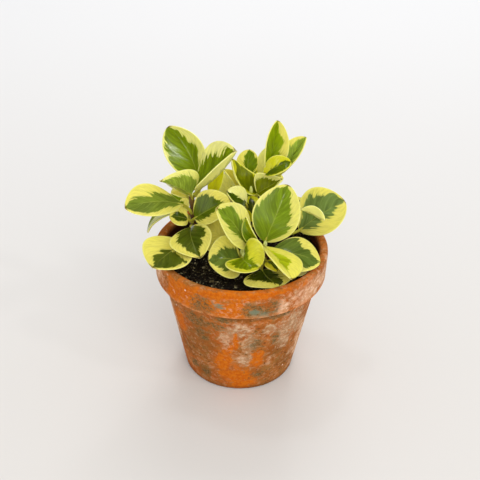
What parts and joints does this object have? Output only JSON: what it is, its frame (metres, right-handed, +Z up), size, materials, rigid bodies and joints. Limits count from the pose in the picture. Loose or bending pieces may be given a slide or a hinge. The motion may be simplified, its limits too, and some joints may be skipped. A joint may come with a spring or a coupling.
{
  "type": "potted baby rubber plant",
  "caption": "Bushy small plant of rounded leathery leaves, green with broad yellow margins, in a plain banded clay pot filled with dark soil.",
  "frame": {"origin": "centre of the pot's underside, on the surface it stands on", "axes": "+Z up along the pot's axis, -Y towards the front of the picture, +X to its right"},
  "size_m": [0.1732, 0.1398, 0.2028],
  "materials": {
    "clay": "unglazed terracotta, weathered, with pale lime bloom and mossy patches",
    "soil": "dark loose potting soil with small pale perlite grains",
    "leaf": "smooth glossy leathery leaf, green to grey-green centre and cream to yellow margin"
  },
  "bodies": {
    "root": {"pot": "clay", "soil": "soil", "shoot_left": "leaf", "shoot_back": "leaf", "shoot_middle": "leaf", "shoot_front": "leaf", "shoot_right": "leaf", "shoot_right_front": "leaf", "shoot_rear": "leaf"}
  },
  "joints": []
}
